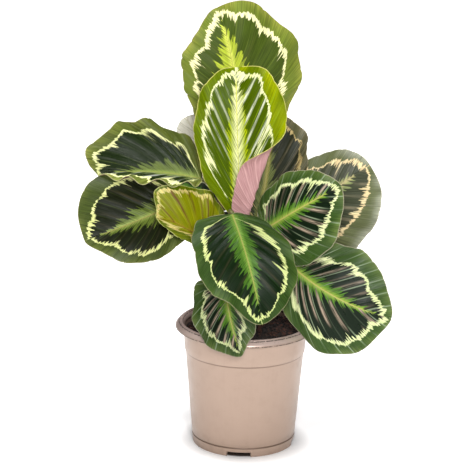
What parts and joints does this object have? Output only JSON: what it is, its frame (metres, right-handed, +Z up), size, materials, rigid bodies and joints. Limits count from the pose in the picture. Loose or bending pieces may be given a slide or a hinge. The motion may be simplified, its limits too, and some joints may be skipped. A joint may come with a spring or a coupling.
{
  "type": "potted calathea",
  "caption": "Leafy house plant in a tapered round nursery pot: broad rounded patterned leaves on thin arching stalks rising from a bed of soil.",
  "frame": {"origin": "on the ground, below the middle of the whole plant's outline seen from above; the pot's axis stands at x = 0.0127 m, y = -0.0354 m", "axes": "+Z up along the pot's axis; the plant's show side faces -Y; +X to the right seen from the show side"},
  "size_m": [0.3096, 0.2608, 0.441],
  "materials": {
    "pot_plastic": "satin taupe injection-moulded polypropylene",
    "soil": "dark crumbly peat potting mix",
    "leaf_mature": "waxy satin leaf, dark green with a pale ring, mauve underside",
    "leaf_olive": "satin leaf, dull olive green with a pale ring",
    "leaf_young": "glossy young leaf, yellow-green",
    "leaf_stalk": "satin brownish-green leaf stalk"
  },
  "bodies": {
    "root": {"pot": "pot_plastic", "soil": "soil", "blade_crown": "leaf_olive", "stalk_crown": "leaf_stalk", "blade_young": "leaf_young", "stalk_young": "leaf_stalk", "blade_behind": "leaf_mature", "stalk_behind": "leaf_stalk", "blade_right_back": "leaf_olive", "stalk_right_back": "leaf_stalk", "blade_right_front": "leaf_mature", "stalk_right_front": "leaf_stalk", "blade_front": "leaf_mature", "stalk_front": "leaf_stalk", "blade_right_low": "leaf_mature", "stalk_right_low": "leaf_stalk", "blade_front_low": "leaf_mature", "stalk_front_low": "leaf_stalk", "blade_left_low": "leaf_mature", "stalk_left_low": "leaf_stalk", "blade_left_high": "leaf_mature", "stalk_left_high": "leaf_stalk", "blade_left_young": "leaf_young", "stalk_left_young": "leaf_stalk", "blade_left_back": "leaf_mature", "stalk_left_back": "leaf_stalk", "blade_back_right": "leaf_mature", "stalk_back_right": "leaf_stalk", "blade_back_middle": "leaf_mature", "stalk_back_middle": "leaf_stalk", "blade_back_left": "leaf_mature", "stalk_back_left": "leaf_stalk", "blade_back_high": "leaf_olive", "stalk_back_high": "leaf_stalk", "blade_back_right_high": "leaf_mature", "stalk_back_right_high": "leaf_stalk", "blade_back_left_high": "leaf_mature", "stalk_back_left_high": "leaf_stalk"}
  },
  "joints": []
}
